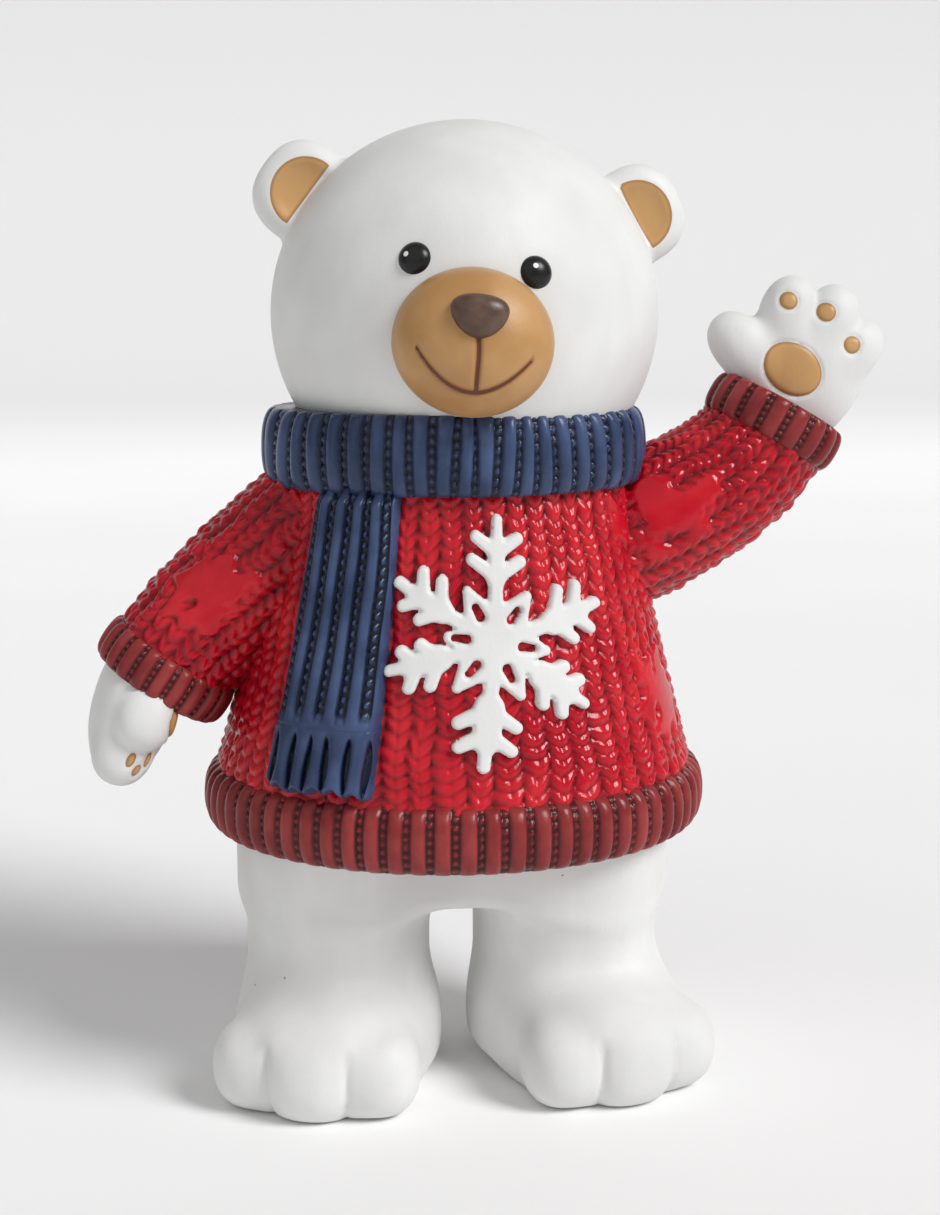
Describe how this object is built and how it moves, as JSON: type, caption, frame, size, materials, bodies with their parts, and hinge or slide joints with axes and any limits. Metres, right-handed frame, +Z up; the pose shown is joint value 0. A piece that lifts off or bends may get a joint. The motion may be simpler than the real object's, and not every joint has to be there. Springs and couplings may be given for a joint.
{
  "type": "bear figurine",
  "caption": "Standing polar bear figurine in a ribbed scarf and a knitted jumper with a raised snowflake, one paw lifted in a wave.",
  "frame": {"origin": "centre of the box's footprint, on the plane of the soles", "axes": "+Z up, the bear faces -Y, the bear's left side with the raised paw is towards +X"},
  "size_m": [0.1518, 0.089, 0.18],
  "materials": {
    "painted_resin": "hand-painted cast resin, matt white body, glossier red jumper and blue scarf"
  },
  "bodies": {
    "root": {"bear_figurine": "painted_resin"}
  },
  "joints": []
}
